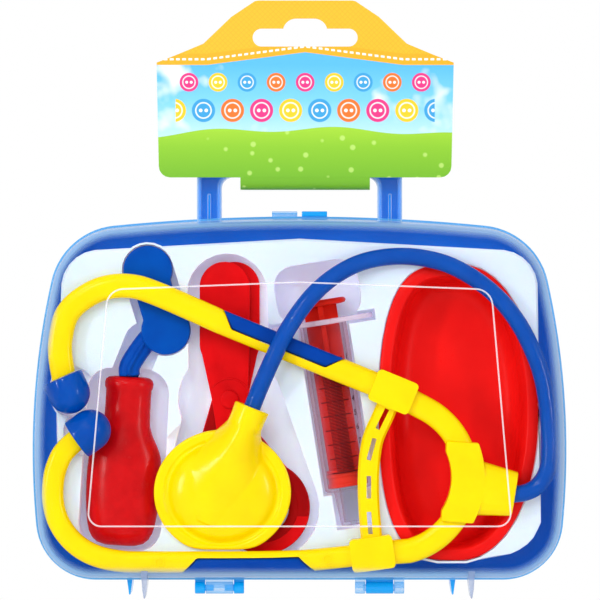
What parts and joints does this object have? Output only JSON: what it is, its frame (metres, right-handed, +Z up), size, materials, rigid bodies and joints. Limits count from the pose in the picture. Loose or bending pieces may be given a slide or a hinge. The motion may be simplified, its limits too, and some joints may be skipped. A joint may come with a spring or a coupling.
{
  "type": "toy doctor case",
  "caption": "Toy doctor case with a clear hinged lid, carry handle and header card, holding a toy stethoscope, reflex hammer, scissors, syringe and kidney dish in a white tray.",
  "frame": {"origin": "under the middle of the closed case, on the plane that its foot ribs stand on", "axes": "+Z up towards the handle, +X to the right seen from the front, -Y towards the clear lid"},
  "size_m": [0.24, 0.053, 0.2668],
  "materials": {
    "shell_blue": "translucent blue injection-moulded plastic, glossy",
    "shell_clear": "clear injection-moulded plastic, glossy, faintly hazy",
    "tray_white": "white vacuum-formed sheet, satin",
    "card_print": null,
    "toy_yellow": "moulded yellow plastic, glossy",
    "toy_blue": "moulded dark blue plastic, glossy",
    "tube_blue": "soft blue tube, smooth satin",
    "toy_red": "moulded red plastic, glossy",
    "syringe_clear": "clear moulded plastic with a printed scale",
    "seal_red": "soft red seal, satin",
    "disc_white": "thin white plastic disc, satin"
  },
  "bodies": {
    "case": {"back_shell": "shell_blue", "tray": "tray_white", "ear_arm_upper": "toy_yellow", "ear_arm_lower": "toy_yellow", "arm_strip_upper": "toy_blue", "arm_strip_lower": "toy_blue", "ear_tip_upper": "toy_blue", "ear_tip_lower": "toy_blue", "headband": "toy_yellow", "hoop": "toy_yellow", "yoke": "toy_yellow", "stethoscope_tube": "tube_blue", "chest_bell": "toy_yellow", "chest_diaphragm": "disc_white", "hammer_handle": "toy_red", "hammer_head": "toy_blue", "scissor_rivet": "toy_red", "syringe_barrel": "syringe_clear", "kidney_dish": "toy_red"},
    "lid": {"front_lid": "shell_clear", "header_card": "card_print"},
    "blade_front": {"scissor_blade_front": "toy_red"},
    "blade_rear": {"scissor_blade_rear": "toy_red"},
    "plunger": {"syringe_plunger": "toy_red", "piston_seal": "seal_red"}
  },
  "joints": [
    {"name": "lid_hinge", "type": "hinge", "parent": "case", "child": "lid", "pos_m": [0, 0, 0.0033], "axis": [1, 0, 0], "range_deg": [0, 180]},
    {"name": "scissor_front_pivot", "type": "hinge", "parent": "case", "child": "blade_front", "pos_m": [-0.0315, 0.0044, 0.088], "axis": [0, -1, 0], "range_deg": [0, 3]},
    {"name": "scissor_rear_pivot", "type": "hinge", "parent": "case", "child": "blade_rear", "pos_m": [-0.0315, 0.0044, 0.088], "axis": [0, -1, 0], "range_deg": [-3, 0]},
    {"name": "plunger_slide", "type": "slide", "parent": "case", "child": "plunger", "axis": [-0.1564, 0, 0.9877], "range_m": [0, 0.014]}
  ],
  "couplings": [
    {"joint": "scissor_rear_pivot", "follows": "scissor_front_pivot", "ratio": -1}
  ]
}
